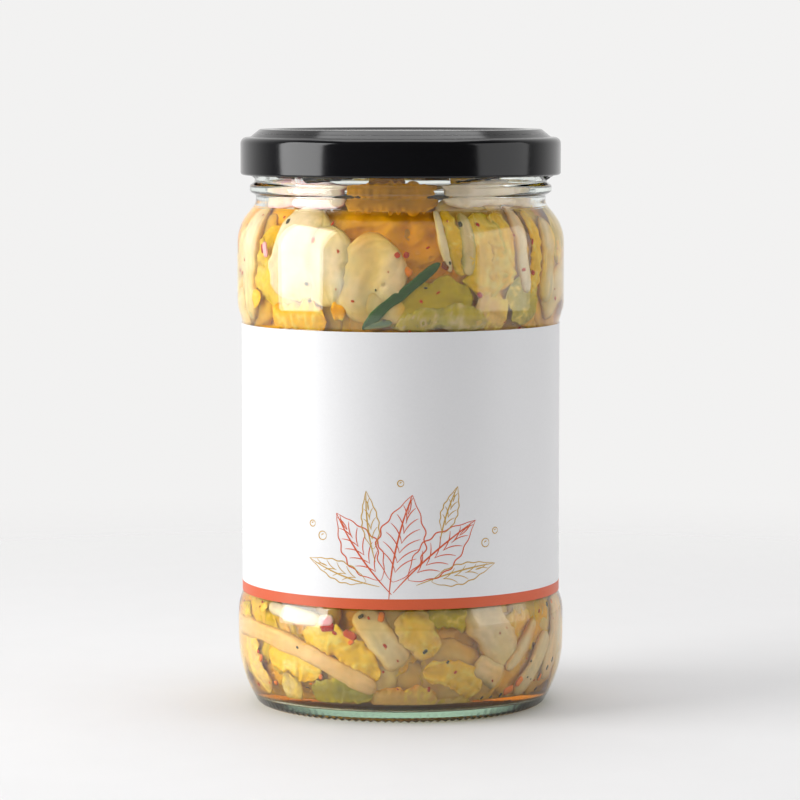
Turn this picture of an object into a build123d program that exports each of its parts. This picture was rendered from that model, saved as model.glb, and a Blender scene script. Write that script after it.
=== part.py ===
from build123d import *
from math import cos, radians, sin
import os

# A 720 ml twist-off jar of kimchi: glass jar, steel lid, paper label and the food inside.
# Millimetres, +Z up, origin at the middle of the bearing ring that the jar stands on,
# and -Y is the front of the label.

# Driving dimensions of the glass.
BODY_RADIUS = 43.5
PANEL_RADIUS = 42.25
NECK_RADIUS = 38.55
FINISH_RADIUS = 38.85
BEAD_RADIUS = 40.15
WALL = 2.35
RIM_HEIGHT = 152.0
NECK_HEIGHT = 133.4
SHOULDER_HEIGHT = 127.4
BEAD_HEIGHT = 137.4
UPPER_BAND_HEIGHT = 106.3
PANEL_TOP = 102.2
PANEL_BOTTOM = 30.0
LOWER_BAND_HEIGHT = 26.5
HEEL_HEIGHT = 9.0
BEARING_RADIUS = 38.2
PUNT_RADIUS = 33.4
PUNT_RISE = 2.4
FLOOR_HEIGHT = 5.2

# Six thread starts that climb anticlockwise round the finish.
STARTS = 6
START_PITCH = 360 / STARTS
THREAD_SECTION = 1.25
THREAD_RADIUS = 38.95
THREAD_TIP_ANGLE = -128
THREAD_FOOT = 141.0
THREAD_ANGLE = 60
THREAD_RISE = 4.7

# Driving dimensions of the lid.
LID_RADIUS = 42.57
LID_TOP = 153.1
LID_SHOULDER = 150.95
LID_BOTTOM = 141.0
LID_RING_RADIUS = 37.4
LID_RECESS_RADIUS = 34.2
LID_RECESS_DEPTH = 0.6
LID_SHEET = 0.35
CURL_WIDTH = 1.5
CURL_HEIGHT = 1.45
LUG_ANGLE_FROM_TIP = 51
LUG_WIDTH = 6.0
LUG_REACH = 39.45
LUG_BOTTOM = 140.3
LUG_TOP = 142.0

# Label and contents.
LABEL_BOTTOM = 30.3
LABEL_TOP = 101.8
LABEL_THICKNESS = 0.14
LABEL_GAP_ANGLE = 8
BRINE_LEVEL = 131.6


def neck_bead():
    """Corners of the rounded transfer bead under the finish, from its lower to its upper side."""
    half = 1.75
    return [
        (NECK_RADIUS, BEAD_HEIGHT - half, 0.6),
        (BEAD_RADIUS, BEAD_HEIGHT - half / 2, 1.0),
        (BEAD_RADIUS, BEAD_HEIGHT + half / 2, 1.0),
        (FINISH_RADIUS, BEAD_HEIGHT + half, 0.6),
    ]


def glass_inside(top):
    """Corners (radius, height, rounding) of the jar's inner wall, from the floor up to top."""
    inner_body = BODY_RADIUS - WALL
    inner_panel = PANEL_RADIUS - WALL
    inner_neck = NECK_RADIUS - WALL
    return [
        (0, FLOOR_HEIGHT, 0),
        (37.0, FLOOR_HEIGHT - 0.6, 3.0),
        (inner_body, HEEL_HEIGHT + 1.4, 16.0),
        (inner_body, LOWER_BAND_HEIGHT - 0.4, 10.0),
        (inner_panel, PANEL_BOTTOM + 0.4, 5.0),
        (inner_panel, PANEL_TOP - 0.4, 5.0),
        (inner_body, UPPER_BAND_HEIGHT + 0.4, 10.0),
        (inner_body, SHOULDER_HEIGHT - 0.8, 11.0),
        (inner_neck, NECK_HEIGHT - 1.0, 4.5),
        (inner_neck, top, 0.8),
    ]


def glass_outside():
    """Corners (radius, height, rounding) of the jar's outer wall, from the rim down to the punt."""
    return [
        (FINISH_RADIUS, RIM_HEIGHT, 0.9),
        *reversed(neck_bead()),
        (NECK_RADIUS, NECK_HEIGHT, 3.0),
        (BODY_RADIUS, SHOULDER_HEIGHT, 12.0),
        (BODY_RADIUS, UPPER_BAND_HEIGHT, 8.0),
        (PANEL_RADIUS, PANEL_TOP, 2.0),
        (PANEL_RADIUS, PANEL_BOTTOM, 2.0),
        (BODY_RADIUS, LOWER_BAND_HEIGHT, 11.0),
        (BODY_RADIUS, HEEL_HEIGHT, 32.0),
        (BEARING_RADIUS, 0, 2.0),
        (PUNT_RADIUS + 1.8, 0, 0.8),
        (PUNT_RADIUS, PUNT_RISE - 0.3, 1.2),
        (0, PUNT_RISE, 0),
    ]


def lid_outside():
    """Corners (radius, height, rounding) of the lid's lacquered side, from its centre outwards."""
    return [
        (0, LID_TOP - LID_RECESS_DEPTH, 0),
        (LID_RECESS_RADIUS - 1.2, LID_TOP - LID_RECESS_DEPTH, 1.0),
        (LID_RECESS_RADIUS, LID_TOP, 0.8),
        (LID_RING_RADIUS, LID_TOP, 1.0),
        (LID_RING_RADIUS + 2.6, LID_SHOULDER + 0.05, 0.8),
        (LID_RADIUS, LID_SHOULDER, 1.7),
        (LID_RADIUS, LID_BOTTOM, 0.7),
    ]


def lid_inside():
    """Corners of the lid's lined side, from the curled edge back to the centre.

    The curled edge turns inwards, and the lining lies flat on the rim of the glass.
    """
    skirt = LID_RADIUS - LID_SHEET
    return [
        (LID_RADIUS - CURL_WIDTH, LID_BOTTOM, 0.7),
        (LID_RADIUS - CURL_WIDTH, LID_BOTTOM + CURL_HEIGHT, 0.6),
        (skirt, LID_BOTTOM + CURL_HEIGHT, 0),
        (skirt, LID_SHOULDER - LID_SHEET, 1.35),
        (LID_RING_RADIUS + 2.8, LID_SHOULDER - LID_SHEET - 0.05, 0.3),
        (LID_RING_RADIUS + 0.9, RIM_HEIGHT, 0.2),
        (0, RIM_HEIGHT, 0),
    ]


def outline(corners):
    """Close a rounded outline through corners in the sketch that is open."""
    points = [(radius, height) for radius, height, rounding in corners]
    roundings = [rounding for radius, height, rounding in corners]
    with BuildLine() as loop:
        FilletPolyline(*points, radius=roundings, close=True)
    make_face(loop.edges())


def at_angle(radius, angle, height):
    """Point at a radius and an angle about the jar's axis."""
    return (radius * cos(radians(angle)), radius * sin(radians(angle)), height)


# Glass jar: a turned wall with a rounded heel, a recessed panel for the label, a shoulder,
# a transfer bead and a plain rim.
with BuildPart() as glass_jar:
    with BuildSketch(Plane.XZ):
        outline(glass_inside(RIM_HEIGHT) + glass_outside())
    revolve(axis=Axis.Z)

    # Thread starts, half sunk in the finish, with rounded ends.
    for start in range(STARTS):
        tip_angle = THREAD_TIP_ANGLE + start * START_PITCH
        thread_plane = Plane(origin=(0, 0, THREAD_FOOT)).rotated((0, 0, tip_angle))
        with BuildLine(thread_plane) as thread:
            Helix(
                pitch=THREAD_RISE * 360 / THREAD_ANGLE,
                height=THREAD_RISE,
                radius=THREAD_RADIUS,
            )
        with BuildSketch(Plane(origin=thread.line @ 0, z_dir=thread.line % 0)):
            Circle(THREAD_SECTION)
        sweep(path=thread.line, is_frenet=True)
        with Locations(thread.line @ 0, thread.line @ 1):
            Sphere(THREAD_SECTION)

# Lid: pressed sheet with a raised ring round a shallow recess, a plain skirt, a curled
# edge, and six lugs that reach in under the thread starts.
with BuildPart() as lid:
    with BuildSketch(Plane.XZ):
        outline(lid_outside() + lid_inside())
    revolve(axis=Axis.Z)
    lug_depth = LID_RADIUS - CURL_WIDTH / 2 - LUG_REACH
    lug_middle = LUG_REACH + lug_depth / 2
    for start in range(STARTS):
        lug_angle = THREAD_TIP_ANGLE + LUG_ANGLE_FROM_TIP + start * START_PITCH
        with Locations(Location(at_angle(lug_middle, lug_angle, LUG_BOTTOM), (0, 0, lug_angle))):
            Box(
                lug_depth,
                LUG_WIDTH,
                LUG_TOP - LUG_BOTTOM,
                align=(Align.CENTER, Align.CENTER, Align.MIN),
            )

# Paper label wrapped round the panel, with a narrow open strip at the back.
with BuildPart() as label:
    with BuildSketch(Plane.XZ.rotated((0, 0, 90 + LABEL_GAP_ANGLE / 2))):
        with BuildLine():
            Polyline(
                (PANEL_RADIUS, LABEL_BOTTOM),
                (PANEL_RADIUS + LABEL_THICKNESS, LABEL_BOTTOM),
                (PANEL_RADIUS + LABEL_THICKNESS, LABEL_TOP),
                (PANEL_RADIUS, LABEL_TOP),
                close=True,
            )
        make_face()
    revolve(axis=Axis.Z, revolution_arc=360 - LABEL_GAP_ANGLE)

# Kimchi in its brine: fills the jar up to the level in the neck.
with BuildPart() as kimchi:
    with BuildSketch(Plane.XZ):
        level_corners = glass_inside(BRINE_LEVEL + 8)
        outline(level_corners + [(0, BRINE_LEVEL + 8, 0)])
    revolve(axis=Axis.Z)
    split(bisect_by=Plane.XY.offset(BRINE_LEVEL), keep=Keep.BOTTOM)

glass_jar.part.label = "glass_jar"
lid.part.label = "lid"
label.part.label = "label"
kimchi.part.label = "kimchi"

os.makedirs("parts", exist_ok=True)
export_step(glass_jar.part, "parts/glass_jar.step")
export_step(lid.part, "parts/lid.step")
export_step(label.part, "parts/label.step")
export_step(kimchi.part, "parts/kimchi.step")
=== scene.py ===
import math
import bpy
import numpy as np
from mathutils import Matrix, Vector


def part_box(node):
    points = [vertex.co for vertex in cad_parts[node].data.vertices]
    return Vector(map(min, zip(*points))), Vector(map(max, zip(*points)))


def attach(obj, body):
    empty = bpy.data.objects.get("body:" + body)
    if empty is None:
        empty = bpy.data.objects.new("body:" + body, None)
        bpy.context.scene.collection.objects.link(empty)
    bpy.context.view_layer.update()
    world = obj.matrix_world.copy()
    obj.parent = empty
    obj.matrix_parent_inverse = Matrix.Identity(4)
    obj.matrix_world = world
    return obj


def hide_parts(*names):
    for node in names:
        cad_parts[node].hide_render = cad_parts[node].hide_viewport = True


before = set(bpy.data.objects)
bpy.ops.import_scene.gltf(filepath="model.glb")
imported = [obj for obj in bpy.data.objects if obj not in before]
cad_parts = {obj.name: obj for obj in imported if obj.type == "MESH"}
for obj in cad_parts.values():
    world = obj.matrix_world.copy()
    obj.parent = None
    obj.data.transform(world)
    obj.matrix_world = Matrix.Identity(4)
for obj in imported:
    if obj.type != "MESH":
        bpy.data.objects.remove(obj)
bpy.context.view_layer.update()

# Sizes are millimetres until a mesh is made, and angles are degrees round the jar from its
# front, positive towards +X.
MM = 0.001
jar_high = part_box("glass_jar")[1]
lid_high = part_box("lid")[1]
label_low, label_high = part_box("label")
food_low, food_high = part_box("kimchi")

BODY = jar_high.x / MM
RIM = jar_high.z / MM
LEVEL = food_high.z / MM
FLOOR = food_low.z / MM
LABEL_RADIUS = label_high.x / MM
LABEL_BOTTOM = label_low.z / MM
LABEL_TOP = label_high.z / MM
LID_RADIUS = lid_high.x / MM
LID_TOP = lid_high.z / MM
SKIRT_BOTTOM = 141.0

WALL = 2.35
PANEL = BODY - 1.25
NECK = BODY - 4.95
FINISH = BODY - 4.65
BEAD = BODY - 3.35
WALL_IN = BODY - WALL
TURN_STEPS = 480

# How near to the glass the face of a sunk piece comes.
CONTACT = 0.12
# How far the brine reaches into the glass.
WETTING = 0.06

THREAD_STARTS = 6
THREAD_PITCH = 60
THREAD_TIP_ANGLE = -128
THREAD_FOOT = 141.0
THREAD_RISE = 4.7
THREAD_SWEEP = 60
THREAD_RADIUS = 38.95
THREAD_SECTION = 1.25
LUG_ANGLE = THREAD_TIP_ANGLE + 51
LUG_ROOT = 41.6
BASE_TEETH = 120
TOOTH_DEPTH = 0.5


# ---------------------------------------------------------------- noise and small maths

def value_noise(x, y, seed):
    """Smooth noise from -1 to 1 on a repeating lattice of random values."""
    table = np.random.RandomState(seed).rand(64, 64)
    x, y = np.asarray(x, float), np.asarray(y, float)
    column, row = np.floor(x).astype(int), np.floor(y).astype(int)
    fx, fy = x - column, y - row
    fx, fy = fx * fx * (3 - 2 * fx), fy * fy * (3 - 2 * fy)
    a = table[column % 64, row % 64]
    b = table[(column + 1) % 64, row % 64]
    c = table[column % 64, (row + 1) % 64]
    d = table[(column + 1) % 64, (row + 1) % 64]
    return 2 * ((a * (1 - fx) + b * fx) * (1 - fy) + (c * (1 - fx) + d * fx) * fy) - 1


def fractal(x, y, seed, octaves=3):
    """Sum of value noise at doubling scales, about -1 to 1."""
    total = 0
    for octave in range(octaves):
        scale = 2 ** octave
        total = total + value_noise(x * scale, y * scale, seed + octave) / scale
    return total * 0.6


def blend(a, b, amount):
    """Mix two colours, or arrays of them, by an array of amounts."""
    amount = np.clip(amount, 0, 1)[..., None]
    return np.asarray(a) * (1 - amount) + np.asarray(b) * amount


def rounded(corners, steps=7):
    """Points along an outline of (radius, height, rounding) corners."""
    points = []
    last = len(corners) - 1
    for i, (r, z, rounding) in enumerate(corners):
        here = np.array((r, z), float)
        if rounding == 0 or i in (0, last):
            points.append(here)
            continue
        before = np.array(corners[i - 1][:2], float) - here
        after = np.array(corners[i + 1][:2], float) - here
        before /= np.linalg.norm(before)
        after /= np.linalg.norm(after)
        half = 0.5 * math.acos(float(np.clip(before @ after, -1, 1)))
        tangent = rounding / math.tan(half)
        middle = here + (before + after) / np.linalg.norm(before + after) * rounding / math.sin(half)
        start = here + before * tangent - middle
        end = here + after * tangent - middle
        sweep = math.pi - 2 * half
        for k in range(steps + 1):
            t = k / steps
            arm = (math.sin((1 - t) * sweep) * start + math.sin(t * sweep) * end) / math.sin(sweep)
            points.append(middle + arm)
    return np.array(points)


def spaced(points, gap, low, high):
    """Add points to an outline so that none are further apart than gap between two heights."""
    result = [points[0]]
    for a, b in zip(points[:-1], points[1:]):
        inside = low < 0.5 * (a[1] + b[1]) < high
        count = max(1, int(np.ceil(np.linalg.norm(b - a) / gap))) if inside else 1
        for k in range(1, count + 1):
            result.append(a + (b - a) * k / count)
    return np.array(result)


# ---------------------------------------------------------------- meshes

def add_mesh(name, points, faces, material, colours=None, smooth=True):
    """Make a piece of the jar from points in millimetres, with a tone at each point if given."""
    mesh = bpy.data.meshes.new(name)
    mesh.from_pydata([tuple(p) for p in np.asarray(points) * MM], [], faces)
    if colours is not None:
        layer = mesh.color_attributes.new("tone", "FLOAT_COLOR", "POINT")
        flat = np.ones((len(points), 4))
        flat[:, :3] = colours
        layer.data.foreach_set("color", flat.ravel())
    mesh.polygons.foreach_set("use_smooth", [smooth] * len(mesh.polygons))
    mesh.materials.append(material)
    mesh.update()
    piece = bpy.data.objects.new(name, mesh)
    bpy.context.scene.collection.objects.link(piece)
    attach(piece, "root")
    return piece


def turned(name, outline, material, shape=None, steps=TURN_STEPS):
    """Revolve an outline that starts and ends on the axis, or is a closed loop off it.

    Its faces are turned outwards, by the sign of the volume that a sample of them bounds.
    """
    angles = np.arange(steps) * 2 * math.pi / steps
    on_axis = outline[0][0] < 1e-6
    body = outline[1:-1] if on_axis else outline
    r = np.repeat(body[:, 0][:, None], steps, 1)
    z = np.repeat(body[:, 1][:, None], steps, 1)
    if shape is not None:
        r, z = shape(r, z, np.degrees(angles)[None, :] + 90)
    points = np.stack([r * np.cos(angles), r * np.sin(angles), z], -1).reshape(-1, 3)
    rows = len(body)
    faces = []
    for i in range(rows if not on_axis else rows - 1):
        j = (i + 1) % rows
        for k in range(steps):
            m = (k + 1) % steps
            faces.append((i * steps + k, j * steps + k, j * steps + m, i * steps + m))
    if on_axis:
        first, last = len(points), len(points) + 1
        points = np.vstack([points, [0, 0, outline[0][1]], [0, 0, outline[-1][1]]])
        for k in range(steps):
            m = (k + 1) % steps
            faces.append((first, k, m))
            faces.append((last, (rows - 1) * steps + m, (rows - 1) * steps + k))
    sample = faces[:: max(1, steps // 64)]
    volume = sum(np.dot(points[f[0]], np.cross(points[f[1]], points[f[2]])) for f in sample)
    if volume < 0:
        faces = [tuple(reversed(f)) for f in faces]
    return add_mesh(name, points, faces, material)


# ---------------------------------------------------------------- materials

def new_material(name):
    """A material with its Principled shader, nodes and links at hand."""
    material = bpy.data.materials.new(name)
    material.use_nodes = True
    nodes, links = material.node_tree.nodes, material.node_tree.links
    return material, nodes, links, nodes["Principled BSDF"]


def noise_node(nodes, links, scale, detail=3.0):
    """Noise in the object's own space, as scale per metre."""
    place = nodes.new("ShaderNodeTexCoord")
    noise = nodes.new("ShaderNodeTexNoise")
    noise.inputs["Scale"].default_value = scale
    noise.inputs["Detail"].default_value = detail
    links.new(place.outputs["Object"], noise.inputs["Vector"])
    return noise


def add_bump(nodes, links, shader, source, strength, depth_mm):
    """Drive the shader's normal from a height."""
    bump = nodes.new("ShaderNodeBump")
    bump.inputs["Strength"].default_value = strength
    bump.inputs["Distance"].default_value = depth_mm * MM
    links.new(source, bump.inputs["Height"])
    links.new(bump.outputs["Normal"], shader.inputs["Normal"])


def let_lamps_through(material, shader, colour):
    """Let lamp light pass a clear surface straight on, dimmed by colour."""
    nodes, links = material.node_tree.nodes, material.node_tree.links
    through = nodes.new("ShaderNodeBsdfTransparent")
    through.inputs["Color"].default_value = colour
    path = nodes.new("ShaderNodeLightPath")
    mix = nodes.new("ShaderNodeMixShader")
    links.new(path.outputs["Is Shadow Ray"], mix.inputs["Fac"])
    links.new(shader.outputs["BSDF"], mix.inputs[1])
    links.new(through.outputs["BSDF"], mix.inputs[2])
    links.new(mix.outputs["Shader"], nodes["Material Output"].inputs["Surface"])


def add_absorption(material, colour, density):
    """Tint what passes through a body, more with every millimetre."""
    nodes, links = material.node_tree.nodes, material.node_tree.links
    absorb = nodes.new("ShaderNodeVolumeAbsorption")
    absorb.inputs["Color"].default_value = colour
    absorb.inputs["Density"].default_value = density
    links.new(absorb.outputs["Volume"], nodes["Material Output"].inputs["Volume"])


def clear_shader(shader, colour, ior, roughness=0.0):
    """Make a Principled shader transmit."""
    shader.inputs["Base Color"].default_value = colour
    shader.inputs["Roughness"].default_value = roughness
    shader.inputs["IOR"].default_value = ior
    shader.inputs["Transmission Weight"].default_value = 1.0


def glass_material():
    """Clear moulded glass, very slightly uneven, that looks green where it is thick."""
    material, nodes, links, shader = new_material("clear_glass")
    clear_shader(shader, (0.98, 0.99, 0.985, 1), 1.5)
    add_bump(nodes, links, shader, noise_node(nodes, links, 90, 1.0).outputs["Fac"], 0.25, 0.12)
    add_absorption(material, (0.72, 0.9, 0.76, 1), 28)
    let_lamps_through(material, shader, (0.9, 0.92, 0.91, 1))
    return material


def brine_material():
    """Yellow-amber brine that deepens with thickness."""
    material, _, _, shader = new_material("brine")
    clear_shader(shader, (1.0, 0.97, 0.9, 1), 1.34)
    add_absorption(material, (0.995, 0.9, 0.1, 1), 210)
    let_lamps_through(material, shader, (1, 1, 1, 1))
    return material


def lacquer_material():
    """Glossy black lacquer with a trace of orange peel."""
    material, nodes, links, shader = new_material("black_lacquer")
    shader.inputs["Base Color"].default_value = (0.006, 0.006, 0.007, 1)
    noise = noise_node(nodes, links, 900, 2.0)
    rough = nodes.new("ShaderNodeMapRange")
    rough.inputs["To Min"].default_value = 0.1
    rough.inputs["To Max"].default_value = 0.17
    links.new(noise.outputs["Fac"], rough.inputs["Value"])
    links.new(rough.outputs["Result"], shader.inputs["Roughness"])
    add_bump(nodes, links, shader, noise.outputs["Fac"], 0.1, 0.02)
    return material


def paper_material():
    """Coated white label paper with faint fibres."""
    material, nodes, links, shader = new_material("label_paper")
    noise = noise_node(nodes, links, 1500, 4.0)
    ramp = nodes.new("ShaderNodeValToRGB")
    ramp.color_ramp.elements[0].color = (0.8, 0.8, 0.805, 1)
    ramp.color_ramp.elements[1].color = (0.84, 0.84, 0.845, 1)
    links.new(noise.outputs["Fac"], ramp.inputs["Fac"])
    links.new(ramp.outputs["Color"], shader.inputs["Base Color"])
    shader.inputs["Roughness"].default_value = 0.42
    add_bump(nodes, links, shader, noise.outputs["Fac"], 0.15, 0.02)
    return material


def ink_material(name, colour):
    """Printed ink that lies a little unevenly on the paper."""
    material, nodes, links, shader = new_material(name)
    noise = noise_node(nodes, links, 2500, 3.0)
    ramp = nodes.new("ShaderNodeValToRGB")
    ramp.color_ramp.elements[0].color = (*[0.92 * c for c in colour], 1)
    ramp.color_ramp.elements[1].color = (*[min(1, 1.06 * c) for c in colour], 1)
    links.new(noise.outputs["Fac"], ramp.inputs["Fac"])
    links.new(ramp.outputs["Color"], shader.inputs["Base Color"])
    shader.inputs["Roughness"].default_value = 0.4
    return material


def food_material(name, roughness=0.35, subsurface=0.0, grain=520):
    """Wet vegetable: the mesh's own tones with fine mottling, pores and a little depth."""
    material, nodes, links, shader = new_material(name)
    tone = nodes.new("ShaderNodeAttribute")
    tone.attribute_name = "tone"
    noise = noise_node(nodes, links, grain, 4.0)
    value = nodes.new("ShaderNodeMapRange")
    value.inputs["To Min"].default_value = 0.76
    value.inputs["To Max"].default_value = 1.12
    links.new(noise.outputs["Fac"], value.inputs["Value"])
    scale = nodes.new("ShaderNodeVectorMath")
    scale.operation = "SCALE"
    links.new(tone.outputs["Color"], scale.inputs[0])
    links.new(value.outputs["Result"], scale.inputs["Scale"])
    links.new(scale.outputs["Vector"], shader.inputs["Base Color"])
    shader.inputs["Roughness"].default_value = roughness
    shader.inputs["IOR"].default_value = 1.4
    shader.inputs["Specular IOR Level"].default_value = 0.06
    if subsurface:
        shader.inputs["Subsurface Weight"].default_value = subsurface
        shader.inputs["Subsurface Radius"].default_value = (0.004, 0.0025, 0.001)
        shader.inputs["Subsurface Scale"].default_value = 1.0
    add_bump(nodes, links, shader, noise.outputs["Fac"], 0.3, 0.1)
    return material


# ---------------------------------------------------------------- glass, lid and label

def inside_corners(top):
    """The jar's inner wall, from the middle of its floor up to top."""
    return [
        (0, FLOOR + 0.6, 0),
        (37.4, FLOOR - 1.2, 3.0),
        (WALL_IN, 9.6, 16.0),
        (WALL_IN, 26.1, 10.0),
        (PANEL - WALL, 30.4, 5.0),
        (PANEL - WALL, 101.8, 5.0),
        (WALL_IN, 106.7, 10.0),
        (WALL_IN, 126.6, 11.0),
        (NECK - WALL, 132.4, 4.5),
        (NECK - WALL, top, 0.8),
    ]


def outside_corners():
    """The jar's outer wall, from the rim down to the punt."""
    return [
        (FINISH, RIM, 0.9),
        (FINISH, 139.15, 0.6),
        (BEAD, 138.28, 1.0),
        (BEAD, 136.52, 1.0),
        (NECK, 135.65, 0.6),
        (NECK, 133.4, 3.0),
        (BODY, 127.4, 12.0),
        (BODY, 106.3, 8.0),
        (PANEL, 102.2, 2.0),
        (PANEL, 30.0, 2.0),
        (BODY, 26.5, 11.0),
        (BODY, 9.0, 32.0),
        (38.2, 0, 2.0),
        (35.2, 0, 0.8),
        (33.4, 2.1, 1.2),
        (0, 2.4, 0),
    ]


def glass_relief(r, z, angle):
    """Raise the thread starts on the finish and notch the ring that the jar stands on."""
    r = r + 0 * angle
    z = z + 0 * angle
    outer = r > NECK - 0.2
    for start in range(THREAD_STARTS):
        turn = (angle - 90 - THREAD_TIP_ANGLE - THREAD_PITCH * start + 60) % 360 - 60
        climb = np.clip(turn, 0, THREAD_SWEEP)
        beyond = np.radians(turn - climb) * FINISH
        height = THREAD_FOOT + THREAD_RISE * climb / THREAD_SWEEP
        gap = np.hypot(z - height, beyond)
        bulge = np.sqrt(np.maximum(THREAD_SECTION ** 2 - gap ** 2, 0))
        on_finish = outer & (z > 139.2) & (gap < THREAD_SECTION)
        r = np.where(on_finish, np.maximum(r, THREAD_RADIUS + bulge), r)
    notch = 0.5 - 0.5 * np.cos(np.radians(angle * BASE_TEETH))
    ring = np.clip(1 - np.abs(r - 37.6) / 2.2, 0, 1) * (z < 1.6)
    return r, z + TOOTH_DEPTH * notch * ring


INNER_WALL = rounded(inside_corners(RIM - 3), 16)


def wall_radius(z):
    """Inner radius of the glass at a height."""
    return np.interp(z, INNER_WALL[1:, 1], INNER_WALL[1:, 0])


def build_glass():
    """The jar, with fine rings where its threads are."""
    outline = np.vstack([rounded(inside_corners(RIM), 6), rounded(outside_corners(), 6)])
    outline = spaced(outline, 0.35, 139.3, 147.5)
    glass = turned("glass", outline, glass_material(), glass_relief)
    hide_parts("glass_jar")


def build_lid():
    """Pressed lid with a recessed top, a curled skirt and a lining that rests on the rim."""
    ring = 37.4
    inner = LID_RADIUS - 0.35
    shoulder = LID_TOP - 2.15
    corners = [
        (0, LID_TOP - 0.6, 0),
        (33.0, LID_TOP - 0.6, 1.0),
        (34.2, LID_TOP, 0.8),
        (ring, LID_TOP, 1.0),
        (ring + 2.6, shoulder + 0.05, 0.8),
        (LID_RADIUS, shoulder, 1.7),
        (LID_RADIUS, SKIRT_BOTTOM, 0.7),
        (LID_RADIUS - 1.5, SKIRT_BOTTOM, 0.7),
        (LID_RADIUS - 1.5, SKIRT_BOTTOM + 1.45, 0.6),
        (inner, SKIRT_BOTTOM + 1.45, 0),
        (inner, shoulder - 0.35, 1.3),
        (ring + 2.8, shoulder - 0.4, 0.3),
        (ring + 0.9, RIM + 0.02, 0.2),
        (0, RIM + 0.02, 0),
    ]
    lid = turned("lid_shell", rounded(corners, 6), lacquer_material())
    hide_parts("lid")
    build_lugs(lid.data.materials[0])


def build_lugs(material):
    """Lugs folded inwards from the skirt, under the threads."""
    points, faces = [], []
    for start in range(THREAD_STARTS):
        middle = math.radians(LUG_ANGLE + THREAD_PITCH * start)
        across = np.array((-math.sin(middle), math.cos(middle), 0))
        out = np.array((math.cos(middle), math.sin(middle), 0))
        base = len(points)
        for z, reach in ((140.5, 39.9), (141.2, 39.45), (141.9, 39.9)):
            root = min(max(z, 141.1), 142.2)
            for side in (-3.0, -1.5, 0.0, 1.5, 3.0):
                ease = 0.45 * (abs(side) / 3.0) ** 3
                points.append(out * (reach + ease) + across * side + np.array((0, 0, z)))
                points.append(out * LUG_ROOT + across * side + np.array((0, 0, root)))
        for row in range(2):
            for k in range(4):
                a = base + row * 10 + 2 * k
                faces.append((a, a + 10, a + 12, a + 2))
                faces.append((a + 1, a + 3, a + 13, a + 11))
        for k in range(4):
            a = base + 2 * k
            faces.append((a, a + 2, a + 3, a + 1))
            a = base + 20 + 2 * k
            faces.append((a, a + 1, a + 3, a + 2))
        for row in range(2):
            a = base + row * 10
            faces.append((a, a + 1, a + 11, a + 10))
            a += 8
            faces.append((a, a + 10, a + 11, a + 1))
    add_mesh("lid_lugs", points, faces, material)


def wrapped(u, v, radius):
    """Points on a cylinder: u runs round it from the front in millimetres, v is its height."""
    angle = np.asarray(u) / radius - math.pi / 2
    height = np.asarray(v) + 0 * angle
    return np.stack([radius * np.cos(angle), radius * np.sin(angle), height], -1)


def shell_strip(name, low, high, inner, outer, gap, material):
    """A thin wall round the jar with a gap at its back."""
    span = math.pi - math.radians(gap) / 2
    turn = np.linspace(-span, span, 361)
    loop = [(inner, low), (outer, low), (outer, high), (inner, high)]
    points = []
    for t in turn:
        for radius, z in loop:
            points.append((radius * math.sin(t), -radius * math.cos(t), z))
    faces = []
    for i in range(len(turn) - 1):
        for k in range(4):
            m = (k + 1) % 4
            faces.append((4 * i + k, 4 * i + 4 + k, 4 * i + 4 + m, 4 * i + m))
    end = 4 * (len(turn) - 1)
    faces.append((0, 1, 2, 3))
    faces.append((end + 3, end + 2, end + 1, end))
    return add_mesh(name, points, faces, material, smooth=False)


def line_mesh(strokes):
    """Thin raised ribbons of ink along strokes of (points, width), wrapped on the label."""
    radius = LABEL_RADIUS + 0.03
    points, faces = [], []
    for path, width in strokes:
        path = np.asarray(path, float)
        run = np.gradient(path, axis=0)
        side = np.stack([-run[:, 1], run[:, 0]], -1)
        side /= np.maximum(np.linalg.norm(side, axis=1), 1e-9)[:, None]
        taper = np.sin(np.linspace(0.12, math.pi - 0.12, len(path))) ** 0.5
        half = 0.5 * width * taper[:, None]
        base = len(points)
        for edge in (path - side * half, path + side * half):
            for r in (radius, radius - 0.04):
                points.extend(wrapped(edge[:, 0], edge[:, 1], r))
        n = len(path)
        rails = (base, base + n, base + 3 * n, base + 2 * n)
        for i in range(n - 1):
            for k in range(4):
                a, b = rails[k], rails[(k + 1) % 4]
                faces.append((a + i, b + i, b + i + 1, a + i + 1))
        faces.append(tuple(rail for rail in rails[::-1]))
        faces.append(tuple(rail + n - 1 for rail in rails))
    return points, faces


def curve(a, b, bend, count=24):
    """Points from a to b that bow sideways by a share of their distance."""
    t = np.linspace(0, 1, count)[:, None]
    a, b = np.asarray(a, float), np.asarray(b, float)
    side = np.array((-(b - a)[1], (b - a)[0]))
    return a + (b - a) * t + side * bend * 4 * t * (1 - t)


def leaf_strokes(foot, tip, width, veins, line):
    """A veined leaf in outline: two sides, a midrib and bowed veins with a wavy margin."""
    foot, tip = np.asarray(foot, float), np.asarray(tip, float)
    axis = tip - foot
    side = np.array((-axis[1], axis[0])) / np.linalg.norm(axis)
    t = np.linspace(0, 1, 60)
    strokes = [(curve(foot - 0.22 * axis, tip, 0.04), line * 1.3)]
    for way in (-1, 1):
        swell = width * np.sin(math.pi * t ** 0.8) * (1 + 0.07 * np.sin(t * 34 + way))
        strokes.append((foot + axis * t[:, None] + side * way * swell[:, None], line))
        for k in range(veins):
            start = (k + 1) / (veins + 2)
            reach = min(start + 0.2, 0.97)
            spread = 0.78 * width * math.sin(math.pi * reach ** 0.8)
            inner = foot + axis * start
            outer = foot + axis * reach + side * way * spread
            strokes.append((curve(inner, outer, -0.1 * way, 12), line * 0.8))
    return strokes


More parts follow.
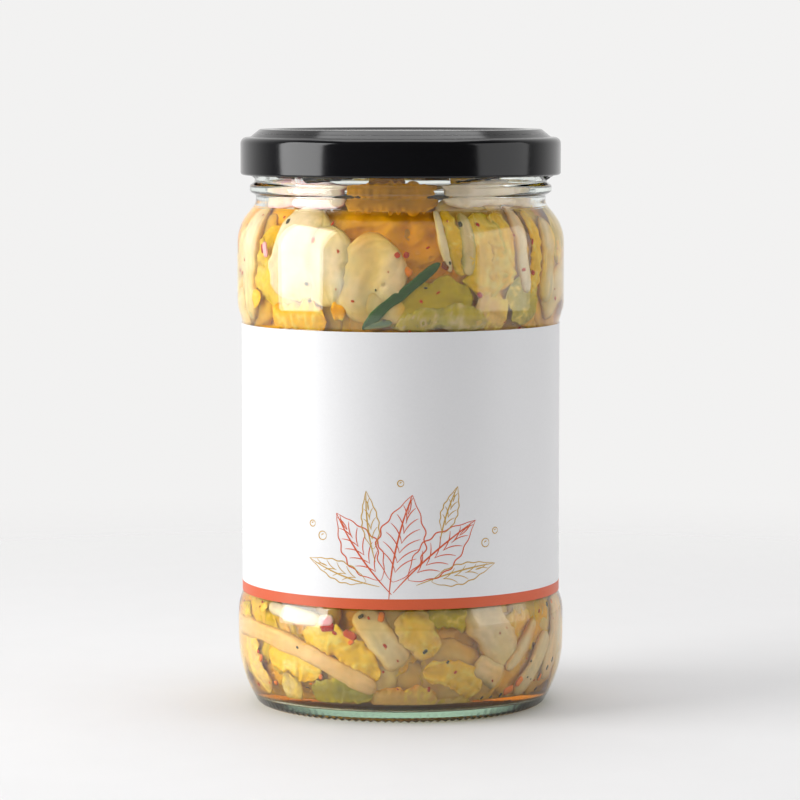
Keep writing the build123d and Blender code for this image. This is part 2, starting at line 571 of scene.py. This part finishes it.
def ring_strokes(centre, radius, line):
    """A small round berry with a stalk mark."""
    t = np.linspace(0, 2 * math.pi, 30)
    x, y = centre
    circle = np.stack([x + radius * np.cos(t), y + radius * np.sin(t)], -1)
    mark = curve((x - 0.3 * radius, y), (x + 0.35 * radius, y + 0.35 * radius), 0.2, 8)
    return [(circle, line), (mark, line)]


def build_label():
    """The wrap-round label, with its stripe and a generic drawing as raised ink."""
    paper = shell_strip(
        "label_wrap", LABEL_BOTTOM, LABEL_TOP, PANEL + 0.01, LABEL_RADIUS, 8, paper_material()
    )
    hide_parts("label")
    red = ink_material("ink_red", (0.68, 0.11, 0.034))
    ochre = ink_material("ink_ochre", (0.58, 0.36, 0.075))
    shell_strip(
        "label_stripe", LABEL_BOTTOM, LABEL_BOTTOM + 2.75, LABEL_RADIUS - 0.03,
        LABEL_RADIUS + 0.02, 8.1, red,
    )
    red_strokes = []
    for foot, tip, width, veins in (
        ((-2, 37.5), (3, 60), 6.2, 7),
        ((-5, 38), (-17, 55), 4.8, 6),
        ((2, 38), (20, 53), 4.8, 6),
    ):
        red_strokes += leaf_strokes(foot, tip, width, veins, 0.34)
    ochre_strokes = []
    for foot, tip, width, veins in (
        ((-9, 37.5), (-25, 43), 2.6, 4),
        ((8, 37.5), (26, 41.5), 2.6, 4),
        ((-7, 46), (-9, 61), 2.2, 4),
        ((11, 50), (15, 62), 2.2, 4),
    ):
        ochre_strokes += leaf_strokes(foot, tip, width, veins, 0.3)
    for x, y, radius in ((-21, 49, 1.1), (-24, 52, 0.8), (23, 47, 1.1), (26, 50, 0.8), (0, 63, 0.8)):
        ochre_strokes += ring_strokes((x, y), radius, 0.3)
    for name, strokes, ink in (
        ("print_leaves", red_strokes, red),
        ("print_sprigs", ochre_strokes, ochre),
    ):
        points, faces = line_mesh(strokes)
        add_mesh(name, points, faces, ink, smooth=False)


# ---------------------------------------------------------------- food pieces

CREAM = (0.78, 0.57, 0.35)
WHITE_RIB = (0.8, 0.63, 0.48)
YELLOW = (0.92, 0.52, 0.03)
GOLD = (0.92, 0.46, 0.01)
AMBER = (0.8, 0.31, 0.002)
LIME = (0.6, 0.44, 0.03)
OLIVE = (0.3, 0.25, 0.02)
GREY_GREEN = (0.42, 0.36, 0.1)
DEEP_GREEN = (0.03, 0.08, 0.02)
PEACH = (0.84, 0.5, 0.23)
PINK = (0.85, 0.4, 0.48)
SKIN_RED = (0.42, 0.03, 0.03)
CARROT = (0.9, 0.22, 0.01)
CHILI = (0.55, 0.05, 0.01)
SEED = (0.06, 0.05, 0.03)
VEIN = (0.92, 0.66, 0.16)
WET_LEAF = (0.4, 0.17, 0.01)
DARK_LEAF = (0.3, 0.12, 0.01)
OPEN_BRINE = (1.0, 0.56, 0.0)

STREWN_IN_BAND = 64
FLECKS = 150

# For each kind of thing: its arrays of points, its faces, its arrays of tones, and its count
# of points.
gathered = {}


def smooth_path(nodes, step):
    """Points along a spline through (angle, height) nodes, as (arc, height) in millimetres."""
    nodes = np.array([(math.radians(a) * WALL_IN, z) for a, z in nodes], float)
    if len(nodes) == 2:
        nodes = np.vstack([nodes[0], nodes.mean(0), nodes[1]])
    padded = np.vstack([2 * nodes[0] - nodes[1], nodes, 2 * nodes[-1] - nodes[-2]])
    fine = []
    for i in range(1, len(padded) - 2):
        p, q, r, s = padded[i - 1:i + 3]
        for t in np.linspace(0, 1, 24, endpoint=False):
            fine.append(0.5 * (2 * q + (r - p) * t + (2 * p - 5 * q + 4 * r - s) * t ** 2
                               + (3 * q - p - 3 * r + s) * t ** 3))
    fine.append(nodes[-1])
    fine = np.array(fine)
    along = np.concatenate([[0], np.cumsum(np.linalg.norm(np.diff(fine, axis=0), axis=1))])
    count = max(8, int(along[-1] / step))
    at = np.linspace(0, along[-1], count)
    return np.stack([np.interp(at, along, fine[:, 0]), np.interp(at, along, fine[:, 1])], -1), along[-1]


def outline_grid(path, length, half, step, blunt, ruffle, seed):
    """Points over a slice's face, with how far along, across and inside its outline each is."""
    run = np.gradient(path, axis=0)
    run /= np.linalg.norm(run, axis=1)[:, None]
    side = np.stack([-run[:, 1], run[:, 0]], -1)
    along = np.linspace(-1, 1, len(path))[:, None]
    count = max(7, int(2 * half / step))
    across = np.sin(np.linspace(-0.5 * math.pi, 0.5 * math.pi, count))[None, :]
    outline = np.maximum(1 - np.abs(along) ** blunt, 0.0) ** 0.5
    reach = half * np.maximum(outline, 0.04)
    reach = reach * (1 + 0.16 * value_noise(along * length / 9, 3.3, seed)
                     + 0.07 * value_noise(along * length / 2.5, 7.7, seed + 1))
    if ruffle:
        reach = reach * (1 + 0.2 * value_noise(along * length / 2.2, 1.1, seed + 2))
    u = path[:, :1] + side[:, :1] * across * reach
    v = path[:, 1:] + side[:, 1:] * across * reach
    return u, v, along, across, outline


def close_tube(kind, points, tone):
    """Add a closed tube, given as rows of rings of points and tones, to its kind's mesh."""
    rows, ring = points.shape[:2]
    store = gathered.setdefault(kind, [[], [], [], 0])
    base = store[3]
    for i in range(rows - 1):
        for k in range(ring):
            m = (k + 1) % ring
            a, b = base + i * ring, base + (i + 1) * ring
            store[1].append((a + k, b + k, b + m, a + m))
    store[1].append(tuple(base + k for k in range(ring)))
    store[1].append(tuple(base + (rows - 1) * ring + k for k in reversed(range(ring))))
    store[0].append(points.reshape(-1, 3))
    store[2].append(np.clip(tone.reshape(-1, 3), 0, 1))
    store[3] = base + rows * ring


def there_and_back(front, back):
    """Join a grid for a slice's face and one for its back into closed rings."""
    return np.concatenate([front, back[:, ::-1]], 1)


def slab(kind, nodes, half, thick, lift, seed, centre, edge, crumple=0.0, ruffle=0.0, fibre=0.06,
         blunt=6.0, vein=None, stain=0.4, step=0.55):
    """Add one closed slice of vegetable that lies along the inside of the glass.

    It follows nodes of (angle, height), is 2 * half wide and thick deep, and its face lies
    lift behind the wall. Where it would pass the wall, it flattens against it.
    """
    path, length = smooth_path(nodes, step)
    u, v, along, across, outline = outline_grid(path, length, half, step, blunt, ruffle, seed)
    dome = 1 - np.sqrt(np.maximum(1 - np.abs(across) ** 4.5, 0)) * np.maximum(outline, 0.1)
    grain = value_noise(across * half * 1.4 + 5, along * length / 14, seed + 3)
    fine = value_noise(across * half * 3.1 + 9, along * length / 10, seed + 9)
    folds = np.abs(fractal(u / 3.6, v / 3.6, seed + 4)) ** 0.8
    waves = np.sin(along * length * 1.25 + 3 * value_noise(u / 4, v / 4, seed + 6)) * across ** 2
    depth = lift + 0.55 * thick * dome + crumple * folds * 2 + ruffle * (1 + waves)
    depth = depth + fibre * (grain + 0.6 * fine + 1.2)
    depth = depth + 0.25 * thick * value_noise(u / 7, v / 7, seed + 8)
    front = CONTACT + np.logaddexp(0, (depth - CONTACT) * 5) / 5 - 0.1
    front = np.maximum(front, CONTACT * 0.6)
    back = front + 0.1 + thick * (0.15 + 0.85 * np.sqrt(np.maximum(1 - across ** 2, 0)) * outline)
    angle = there_and_back(u, u) / WALL_IN - math.pi / 2
    z = np.clip(there_and_back(v, v), FLOOR + 0.7, RIM - 8)
    r = wall_radius(z) - there_and_back(front, back)

    tone = blend(centre, edge, np.abs(across) ** 2.6 * 0.9 + 0.7 * fractal(u / 5, v / 5, seed + 11))
    tone = tone * (1 - 0.1 * grain - 0.06 * fine)[..., None]
    if vein is not None:
        tone = blend(tone, vein, 1.3 * np.clip(0.32 - folds, 0, 1) * 3 * (0.4 + 0.6 * (grain > 0.0)))
    # Amber that deepens with depth behind the glass: partly a random stain, partly painted shade and brine
    # colour on set-back parts and in the gaps between pieces.
    stain_and_depth_shade = np.clip(front / 4 + 0.3 * fractal(u / 2.5, v / 2.5, seed + 13), 0, 1)
    tone = blend(tone, AMBER, stain * stain_and_depth_shade)
    points = np.stack([r * np.cos(angle), r * np.sin(angle), z], -1)
    close_tube(kind, points, there_and_back(tone, tone))


def half_span(length, turn):
    """Half of a straight piece's length, as degrees round the jar and millimetres up."""
    return math.degrees(0.5 * length * math.cos(turn) / WALL_IN), 0.5 * length * math.sin(turn)


def rib(nodes, half, thick, lift, seed, centre=CREAM, edge=PEACH, **more):
    """A thick cabbage rib."""
    slab("cabbage_ribs", nodes, 1.22 * half, thick, lift, seed, centre, edge, **{"fibre": 0.12, **more})


def leaf(nodes, half, lift, seed, centre=YELLOW, edge=GOLD, **more):
    """A thin crumpled piece of cabbage leaf."""
    settings = {"crumple": 0.4, "ruffle": 0.3, "fibre": 0.24, "blunt": 4.0, "vein": VEIN, "stain": 0.2}
    settings.update(more)
    settings["crumple"] *= 0.6
    slab("cabbage_leaves", nodes, 1.3 * half, 0.6, lift, seed, centre, edge, **settings)


def front_pieces():
    """The pieces listed one by one, which show at the front above and below the label."""
    # Upper band, left: two broad ribs pressed flat, with a pale lobe at the far left.
    rib([(-33, 131), (-40, 121), (-41, 109)], 8.4, 4.5, -0.5, 1, CREAM, WHITE_RIB, blunt=3.0, stain=0.1)
    rib([(-27, 128), (-29, 118), (-26, 108)], 6.2, 4.5, -0.3, 2, CREAM, WHITE_RIB, blunt=3.2, stain=0.12)
    rib([(-1, 123), (-11, 116), (-18, 105)], 7.4, 4.5, 0.1, 3, CREAM, PEACH, blunt=3.4, stain=0.25)
    rib([(-5, 112), (-9, 104)], 5.0, 3.5, 0.5, 4, CREAM, YELLOW, blunt=4.0)
    rib([(-68, 131), (-73, 118), (-72, 104)], 4.6, 4.0, 0.2, 5, WHITE_RIB, PEACH, blunt=5.0, stain=0.1)
    leaf([(-54, 105.2), (-28, 104.6)], 3.2, 0.4, 6, GOLD, AMBER, crumple=0.35, fibre=0.2)
    leaf([(-66, 111), (-62, 107.5)], 1.9, 0.1, 7, YELLOW, GOLD)
    leaf([(-26, 107.3), (-20, 107)], 2.0, 0.2, 8, AMBER, GOLD)
    # Upper band, right: thin ribs, an olive fold, frilly yellow leaf and a pinkish rib.
    rib([(14, 132), (15, 125), (18, 117)], 0.9, 1.2, 0.0, 10, WHITE_RIB, CREAM, step=0.4)
    rib([(24, 131), (25, 124), (25, 116)], 1.6, 1.4, 0.2, 11, CREAM, GREY_GREEN, step=0.4)
    leaf([(17, 132), (20, 125), (23, 116)], 1.9, 0.2, 12, YELLOW, LIME)
    leaf([(30, 131), (32, 121), (33, 110)], 4.6, 0.1, 13, YELLOW, LIME, crumple=0.9, stain=0.1)
    leaf([(39, 131), (40, 121), (38, 112)], 3.4, 0.2, 14, YELLOW, GOLD, crumple=0.8, stain=0.1)
    leaf([(-6, 105.5), (9, 109.5), (27, 110)], 4.2, 0.3, 15, LIME, OLIVE, crumple=0.5, vein=LIME)
    leaf([(-2, 103.4), (15, 105.5), (33, 104.2)], 2.4, 0.1, 16, LIME, GREY_GREEN, crumple=0.4, vein=CREAM)
    rib([(48, 133), (49, 122), (52, 111)], 1.7, 2.4, 0.0, 17, WHITE_RIB, PEACH, step=0.4)
    leaf([(56, 131), (58, 121), (55, 110)], 1.9, 0.2, 18, YELLOW, GOLD)
    rib([(66, 129), (67, 120), (64, 108)], 3.2, 2.5, 0.1, 19, CREAM, YELLOW)
    leaf([(44, 114), (56, 104.5)], 4.0, 0.3, 20, GREY_GREEN, LIME, crumple=0.4)
    leaf([(28, 108), (42, 105)], 3.6, 0.3, 21, PEACH, YELLOW, crumple=0.5)
    slab("scallion", [(14, 119.5), (3, 113), (-6, 108), (-14, 102.5)], 1.35, 0.7, 0.0, 22,
         DEEP_GREEN, (0.06, 0.13, 0.03), stain=0.0, fibre=0.05, step=0.35)
    slab("scallion", [(-14, 103.2), (-3, 104.5)], 1.0, 0.6, 0.1, 23, (0.1, 0.16, 0.1), GREY_GREEN, stain=0.0)
    slab("radish", [(-57.5, 124), (-56, 120)], 1.0, 1.0, -0.1, 24, PINK, PINK, stain=0.0, step=0.3)
    slab("radish_skin", [(-59, 123.5), (-58.3, 121)], 0.45, 0.7, 0.0, 25, SKIN_RED, CHILI, step=0.25)
    slab("carrot", [(1, 118), (4, 116.5)], 1.0, 0.9, 0.3, 26, CARROT, AMBER, step=0.3)
    slab("radish_skin", [(1, 121.8), (3, 121.2)], 0.7, 0.7, 0.3, 27, SKIN_RED, CHILI, step=0.25)
    slab("radish_skin", [(15, 119.6), (18, 118.4)], 1.3, 0.9, 0.4, 28, (0.2, 0.05, 0.01), CHILI, step=0.3)
    slab("radish_skin", [(28.4, 111.6), (30, 110.4)], 0.6, 0.6, 0.0, 29, SKIN_RED, CHILI, step=0.25)

    # Neck: pale folds that stand above the brine, with darker wet leaf between them.
    rib([(-74, 134), (-52, 136.5), (-24, 135.5)], 3.2, 3.0, 0.3, 51, WHITE_RIB, PINK, stain=0.1)
    rib([(18, 136), (44, 136.8), (72, 134)], 3.0, 3.0, 0.3, 52, WHITE_RIB, CREAM, stain=0.1)
    leaf([(-24, 134.5), (-6, 135.5), (16, 135)], 3.4, 0.9, 53, WET_LEAF, AMBER, vein=None)
    leaf([(-14, 139), (2, 140)], 2.2, 1.4, 54, DARK_LEAF, GOLD, vein=None)
    leaf([(22, 140), (40, 139)], 2.2, 1.6, 55, GOLD, PEACH, vein=None)

    # Lower band, left: a white bar with a pink tip, frilly yellow leaves and a long peach rib.
    leaf([(-61, 28.6), (-59.5, 26.4)], 1.5, 0.0, 30, GOLD, YELLOW, crumple=0.2)
    rib([(-57, 28.4), (-43, 27.2), (-30, 26.2)], 1.55, 1.8, 0.0, 31, WHITE_RIB, CREAM, step=0.35, stain=0.0)
    slab("radish", [(-31, 26.3), (-25, 26.6)], 1.2, 1.2, 0.0, 32, PINK, WHITE_RIB, stain=0.0, step=0.3)
    slab("radish_skin", [(-30, 24.6), (-24.5, 25.2)], 1.1, 0.7, 0.1, 33, SKIN_RED, SKIN_RED, step=0.25)
    slab("radish_skin", [(-21, 24.0), (-16, 22.6)], 1.0, 0.7, 0.5, 34, CHILI, SKIN_RED, step=0.3)
    leaf([(-38, 23.5), (-22, 20.5), (-8, 12)], 2.8, 0.0, 35, YELLOW, GOLD, crumple=0.8, stain=0.05)
    leaf([(-56, 17), (-42, 16.2), (-30, 13)], 3.3, 0.0, 36, YELLOW, GOLD, crumple=0.7, stain=0.05)
    rib([(-84, 21.5), (-58, 21), (-35, 17.5), (-9, 9.2)], 2.2, 2.6, 0.15, 37, PEACH, PEACH, blunt=16)
    leaf([(-35, 7.3), (-22, 8.8), (-10, 8.6)], 2.6, 0.05, 38, OLIVE, LIME, crumple=0.5, vein=GREY_GREEN)
    rib([(-15, 30), (-7, 22), (1, 15.5)], 3.6, 3.0, 0.2, 39, CREAM, PEACH)
    leaf([(2, 29.5), (6, 24), (12, 18)], 3.6, 0.3, 40, YELLOW, PEACH, crumple=0.6)
    leaf([(10, 29), (26, 26.5)], 2.6, 0.5, 41, LIME, OLIVE, crumple=0.5)
    rib([(28, 31.5), (37, 22), (44, 15)], 4.6, 3.8, 0.0, 42, CREAM, PEACH, stain=0.15)
    leaf([(8, 14), (20, 13), (31, 8.5)], 3.2, 0.0, 43, YELLOW, GOLD, crumple=0.8)
    rib([(28, 15.5), (40, 11)], 2.8, 2.4, 0.3, 44, PEACH, CREAM)
    rib([(66, 21), (58, 13), (49, 6.5)], 2.5, 2.4, 0.0, 45, CREAM, PEACH, stain=0.15)
    rib([(57, 25), (50, 18), (42, 13)], 1.6, 2.0, 0.2, 46, CREAM, AMBER)
    rib([(76, 30), (74, 20), (66, 9)], 2.9, 2.4, 0.1, 47, PEACH, CREAM)
    leaf([(-70, 20), (-66, 12), (-58, 6.8)], 3.4, 0.1, 48, PEACH, YELLOW, crumple=0.4)
    leaf([(-50, 9), (-40, 7.5)], 2.6, 0.2, 49, CREAM, YELLOW, crumple=0.5)
    leaf([(-12, 7), (14, 6.6)], 2.4, 0.5, 50, PEACH, AMBER, crumple=0.5)
    for number, (angle, z, length, tilt) in enumerate((
        (-18, 21.5, 1.7, 40), (-30, 12, 1.5, 70), (-61, 14.5, 2.2, 60), (-53, 8.8, 1.6, 20),
        (-7, 28, 2.6, 80), (44, 7.6, 3.4, 20), (49, 9.5, 2.8, 50), (62, 9.5, 2.0, 60),
    )):
        step_a, step_z = half_span(length, math.radians(tilt))
        slab("carrot", [(angle - step_a, z - step_z), (angle + step_a, z + step_z)], 0.32 * length,
             0.8, 0.02, 60 + number, CARROT, (0.75, 0.12, 0.01), stain=0.0, step=0.25)


def strewn_pieces(rng):
    """Random pieces all round both clear bands, sunk deeper where the listed front pieces are."""
    bands = ((LABEL_TOP + 1, LEVEL + 0.5), (FLOOR + 2, LABEL_BOTTOM + 1))
    for low, high in bands:
        for number in range(STREWN_IN_BAND):
            angle = -180 + 360 * (number + rng.uniform(-0.4, 0.4)) / STREWN_IN_BAND
            z = rng.uniform(low, high)
            tilt = rng.uniform(-80, 80)
            length = rng.uniform(14, 30)
            lift = rng.uniform(0.0, 1.6) if abs(angle) > 76 else rng.uniform(1.5, 3.4)
            step_a, step_z = half_span(length, math.radians(tilt))
            bow = rng.uniform(-4, 4)
            top, bottom = min(z + step_z, high), max(z - step_z, low)
            path = [(angle - step_a, bottom), (angle + bow, 0.5 * (top + bottom)), (angle + step_a, top)]
            seed = 200 + number
            if -30 < angle < 16 and z > 108:
                lift += 6
            if rng.rand() < 0.5:
                rib(path, rng.uniform(3.0, 6.5), rng.uniform(1.8, 3.6), lift, seed,
                    (CREAM, WHITE_RIB, PEACH)[rng.randint(3)], (PEACH, YELLOW)[rng.randint(2)], step=0.85)
            else:
                leaf(path, rng.uniform(3.0, 5.5), lift, seed, (YELLOW, GOLD, LIME, CREAM)[rng.randint(4)],
                     (GOLD, LIME, YELLOW)[rng.randint(3)], crumple=rng.uniform(0.4, 0.9), step=0.85)


def flecks(rng):
    """Chili flakes, carrot bits and dark seeds, on and between the pieces."""
    for number in range(FLECKS):
        band = number % 2
        angle = rng.uniform(-180, 180)
        z = rng.uniform(LABEL_TOP, LEVEL - 1) if band else rng.uniform(FLOOR + 1.5, LABEL_BOTTOM)
        length = rng.uniform(0.5, 1.7)
        step_a, step_z = half_span(length, rng.uniform(0, math.pi))
        path = [(angle - step_a, z - step_z), (angle + step_a, z + step_z)]
        pick = rng.rand()
        kind, colour = ("chili_flakes", CHILI)
        if pick > 0.6:
            kind, colour = "carrot", CARROT
        if pick > 0.78:
            kind, colour = "seeds", SEED
        slab(kind, path, length * rng.uniform(0.2, 0.42), 0.35, rng.uniform(0, 0.3), 500 + number,
             colour, colour, stain=0.0, fibre=0.02, step=0.22)
    for angle, z, size in ((32, 6.4, 1.0), (36, 6.4, 0.8), (40.5, 6.6, 1.3), (71, 13.2, 1.6),
                           (67, 11.5, 1.5), (61, 9.9, 1.5), (67, 27.6, 1.4)):
        slab("seeds", [(angle - 0.5, z - 0.4 * size), (angle + 0.5, z + 0.4 * size)], 0.28 * size, 0.4,
             0.0, int(700 + angle), SEED, SEED, stain=0.0, fibre=0.02, step=0.2)


def build_core():
    """Packed cabbage behind the loose pieces, as one lumpy body, hollowed for open brine in front."""
    heights = np.concatenate([
        np.linspace(FLOOR + 0.9, LABEL_BOTTOM + 2, 60),
        np.linspace(LABEL_BOTTOM + 5, LABEL_TOP - 4, 18),
        np.linspace(LABEL_TOP - 1, LEVEL - 0.8, 70),
    ])
    steps = 300
    amber_angle, amber_spread = 273, 14
    angles = np.arange(steps) * 2 * math.pi / steps
    u = (angles * WALL_IN)[None, :]
    v = heights[:, None]
    lumps = fractal(u / 8, v / 5, 900, 4)
    depth = 4.6 + 2.4 * lumps + 0.5 * np.abs(fractal(u / 1.6, v / 1.6, 910))
    amber_gap = np.exp(-((np.degrees(angles) - amber_angle) / amber_spread) ** 2)[None, :]
    depth = depth + 2.5 * amber_gap * np.clip((v - 115) / 8, 0, 1)
    ends = np.clip((v - FLOOR - 0.9) / 5, 0, 1) ** 0.5 * np.clip((LEVEL - 0.8 - v) / 3, 0, 1) ** 0.5
    r = np.maximum((wall_radius(v) - np.maximum(depth, 1.2)) * (0.9 + 0.1 * ends), 5)
    points = np.stack([r * np.cos(angles), r * np.sin(angles), v + 0 * r], -1).reshape(-1, 3)
    tone = blend((0.95, 0.56, 0.02), PEACH, 0.4 + 0.9 * fractal(u / 6, v / 4, 920, 4))
    tone = blend(tone, AMBER, 0.1 + 0.8 * fractal(u / 9, v / 7, 930, 3))
    tone = blend(tone, OPEN_BRINE, 1.2 * amber_gap * np.clip((v - 110) / 6, 0, 1))
    faces = []
    rows = len(heights)
    for i in range(rows - 1):
        for k in range(steps):
            m = (k + 1) % steps
            faces.append((i * steps + k, i * steps + m, (i + 1) * steps + m, (i + 1) * steps + k))
    faces.append(tuple(reversed(range(steps))))
    faces.append(tuple((rows - 1) * steps + k for k in range(steps)))
    add_mesh("packed_core", points, faces, food_material("core", 0.4), tone.reshape(-1, 3))


def build_brine():
    """The brine, which reaches just into the glass so that no air gap shows."""
    wet = INNER_WALL[INNER_WALL[:, 1] < LEVEL - 0.3].copy()
    wet[1:, 0] += WETTING
    wet[:, 1] -= np.where(wet[:, 1] < FLOOR + 1.5, 0.05, 0)
    edge = wall_radius(LEVEL)
    top = [
        (edge + WETTING, LEVEL - 0.3),
        (edge + WETTING, LEVEL + 0.35),
        (edge - 0.5, LEVEL - 0.02),
        (0, LEVEL - 0.1),
    ]
    brine = turned("brine", np.vstack([wet, top]), brine_material(), steps=256)
    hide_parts("kimchi")


def add_ball(points, faces, middle, size, rings=8, segments=14):
    """Add a closed ball to lists of points and faces."""
    base = len(points)
    points.append(middle + (0, 0, size))
    for i in range(1, rings):
        tilt = math.pi * i / rings
        for k in range(segments):
            a = 2 * math.pi * k / segments
            arm = (math.sin(tilt) * math.cos(a), math.sin(tilt) * math.sin(a), math.cos(tilt))
            points.append(middle + size * np.array(arm))
    points.append(middle - (0, 0, size))
    last = base + 1 + (rings - 1) * segments
    low = last - segments
    for k in range(segments):
        m = (k + 1) % segments
        faces.append((base, base + 1 + k, base + 1 + m))
        faces.append((last, low + m, low + k))
        for i in range(rings - 2):
            a = base + 1 + i * segments
            faces.append((a + k, a + segments + k, a + segments + m, a + m))


def build_bubbles(rng):
    """Small round air bubbles caught against the glass."""
    spots = [(-25, 116.5, 0.5), (-6, 114, 0.9), (11, 120.5, 0.8), (6, 122, 0.6), (0, 112.5, 0.5),
             (34, 9.0, 1.5), (-41, 10.5, 0.7), (-37, 8.2, 0.8), (-30, 8.5, 0.4), (-23, 9.2, 0.45)]
    for _ in range(60):
        z = rng.uniform(LABEL_TOP, LEVEL - 1) if rng.rand() < 0.5 else rng.uniform(7, LABEL_BOTTOM)
        spots.append((rng.uniform(-180, 180), z, rng.uniform(0.15, 0.4)))
    material, _, _, shader = new_material("air")
    clear_shader(shader, (1, 1, 1, 1), 1.25, 0.02)
    points, faces = [], []
    for angle, z, size in spots:
        turn = math.radians(angle) - math.pi / 2
        distance = float(wall_radius(z)) - 0.1 - size
        middle = np.array((distance * math.cos(turn), distance * math.sin(turn), z))
        add_ball(points, faces, middle, size)
    add_mesh("bubbles", points, faces, material)


def build_food():
    """All that fills the jar, with one mesh for each kind of thing."""
    rng = np.random.RandomState(7)
    front_pieces()
    strewn_pieces(rng)
    flecks(rng)
    finish = {
        "cabbage_ribs": food_material("rib_flesh", 0.3, 0.35),
        "cabbage_leaves": food_material("leaf_flesh", 0.35, 0.2, grain=1100),
    }
    for kind, (points, faces, tones, _) in gathered.items():
        material = finish.get(kind) or food_material(kind, 0.3)
        add_mesh(kind, np.vstack(points), faces, material, np.vstack(tones))
    build_core()
    build_brine()
    build_bubbles(rng)


# ---------------------------------------------------------------- studio

BACKGROUND = (0.89, 0.885, 0.88, 1)
FILL = (0.36, 0.36, 0.37, 1)
DARK_FRONT = (0.02, 0.02, 0.02, 1)


def build_floor():
    """Plain pale floor that fades into the background."""
    mesh = bpy.data.meshes.new("floor")
    size = 3.0
    corners = [(-size, -size, 0), (size, -size, 0), (size, size, 0), (-size, size, 0)]
    mesh.from_pydata(corners, [], [(0, 1, 2, 3)])
    material, nodes, links, shader = new_material("floor_paper")
    noise = noise_node(nodes, links, 60, 2.0)
    ramp = nodes.new("ShaderNodeValToRGB")
    ramp.color_ramp.elements[0].color = (0.86, 0.855, 0.85, 1)
    ramp.color_ramp.elements[1].color = (0.88, 0.875, 0.87, 1)
    links.new(noise.outputs["Fac"], ramp.inputs["Fac"])
    links.new(ramp.outputs["Color"], shader.inputs["Base Color"])
    shader.inputs["Roughness"].default_value = 0.6
    shader.inputs["Specular IOR Level"].default_value = 0.2
    place = nodes.new("ShaderNodeTexCoord")
    length = nodes.new("ShaderNodeVectorMath")
    length.operation = "LENGTH"
    fade = nodes.new("ShaderNodeMapRange")
    fade.interpolation_type = "SMOOTHSTEP"
    fade.inputs["From Min"].default_value = 0.12
    fade.inputs["From Max"].default_value = 0.5
    clear = nodes.new("ShaderNodeBsdfTransparent")
    mix = nodes.new("ShaderNodeMixShader")
    links.new(place.outputs["Object"], length.inputs[0])
    links.new(length.outputs["Value"], fade.inputs["Value"])
    links.new(fade.outputs["Result"], mix.inputs["Fac"])
    links.new(shader.outputs["BSDF"], mix.inputs[1])
    links.new(clear.outputs["BSDF"], mix.inputs[2])
    links.new(mix.outputs["Shader"], nodes["Material Output"].inputs["Surface"])
    mesh.materials.append(material)
    floor = bpy.data.objects.new("floor", mesh)
    bpy.context.scene.collection.objects.link(floor)


def build_world():
    """Pale background to look at, a dimmer fill for what it lights, and a dark front to mirror."""
    world = bpy.data.worlds.new("studio")
    bpy.context.scene.world = world
    world.use_nodes = True
    nodes, links = world.node_tree.nodes, world.node_tree.links
    path = nodes.new("ShaderNodeLightPath")
    place = nodes.new("ShaderNodeTexCoord")
    split = nodes.new("ShaderNodeSeparateXYZ")
    behind = nodes.new("ShaderNodeMapRange")
    behind.interpolation_type = "SMOOTHSTEP"
    behind.inputs["From Min"].default_value = 0.0
    behind.inputs["From Max"].default_value = 0.9
    links.new(place.outputs["Generated"], split.inputs["Vector"])
    links.new(split.outputs["Y"], behind.inputs["Value"])

    def combined(operation, first, second):
        """The result of one sum on two sockets."""
        node = nodes.new("ShaderNodeMath")
        node.operation = operation
        links.new(first, node.inputs[0])
        links.new(second, node.inputs[1])
        return node.outputs[0]

    looked_at = combined("MAXIMUM", path.outputs["Is Camera Ray"], path.outputs["Is Transmission Ray"])
    mirrored = combined("MULTIPLY", path.outputs["Is Glossy Ray"], behind.outputs["Result"])
    unseen = nodes.new("ShaderNodeMix")
    unseen.data_type = "RGBA"
    unseen.inputs["A"].default_value = FILL
    unseen.inputs["B"].default_value = DARK_FRONT
    links.new(path.outputs["Is Glossy Ray"], unseen.inputs["Factor"])
    mix = nodes.new("ShaderNodeMix")
    mix.data_type = "RGBA"
    mix.inputs["B"].default_value = BACKGROUND
    links.new(unseen.outputs["Result"], mix.inputs["A"])
    links.new(combined("MAXIMUM", looked_at, mirrored), mix.inputs["Factor"])
    links.new(mix.outputs["Result"], nodes["Background"].inputs["Color"])
    nodes["Background"].inputs["Strength"].default_value = 1.0


def softbox(name, place, target, width, height, watts):
    """A rectangular lamp at place that faces target."""
    lamp = bpy.data.lights.new(name, "AREA")
    lamp.shape = "RECTANGLE"
    lamp.size, lamp.size_y = width, height
    lamp.energy = watts
    holder = bpy.data.objects.new(name, lamp)
    bpy.context.scene.collection.objects.link(holder)
    holder.location = place
    aim = np.asarray(target, float) - np.asarray(place, float)
    pan = math.atan2(-aim[0], aim[1])
    pitch = math.atan2(aim[2], math.hypot(aim[0], aim[1]))
    holder.rotation_euler = (math.pi / 2 + pitch, 0, pan)
    holder.visible_camera = False


def build_camera():
    """Long lens from the front, a little above the jar."""
    camera = bpy.data.cameras.new("camera")
    camera.lens = 164.0
    camera.sensor_width = 36
    holder = bpy.data.objects.new("camera", camera)
    bpy.context.scene.collection.objects.link(holder)
    holder.location = (0, -0.971, 0.166)
    holder.rotation_euler = (math.radians(90 - 5.016), 0, math.radians(0.011))
    bpy.context.scene.camera = holder


build_glass()
build_lid()
build_label()
build_food()
build_floor()
build_world()
aim_at = (0, 0, 0.08)
softbox("key", (-0.95, -0.25, 0.35), aim_at, 0.7, 1.0, 11)
softbox("side", (1.0, -0.2, 0.3), aim_at, 0.9, 0.9, 3.2)
softbox("top", (0, 0.15, 1.1), aim_at, 0.9, 0.7, 5)
build_camera()
bpy.context.scene.view_settings.view_transform = "Standard"
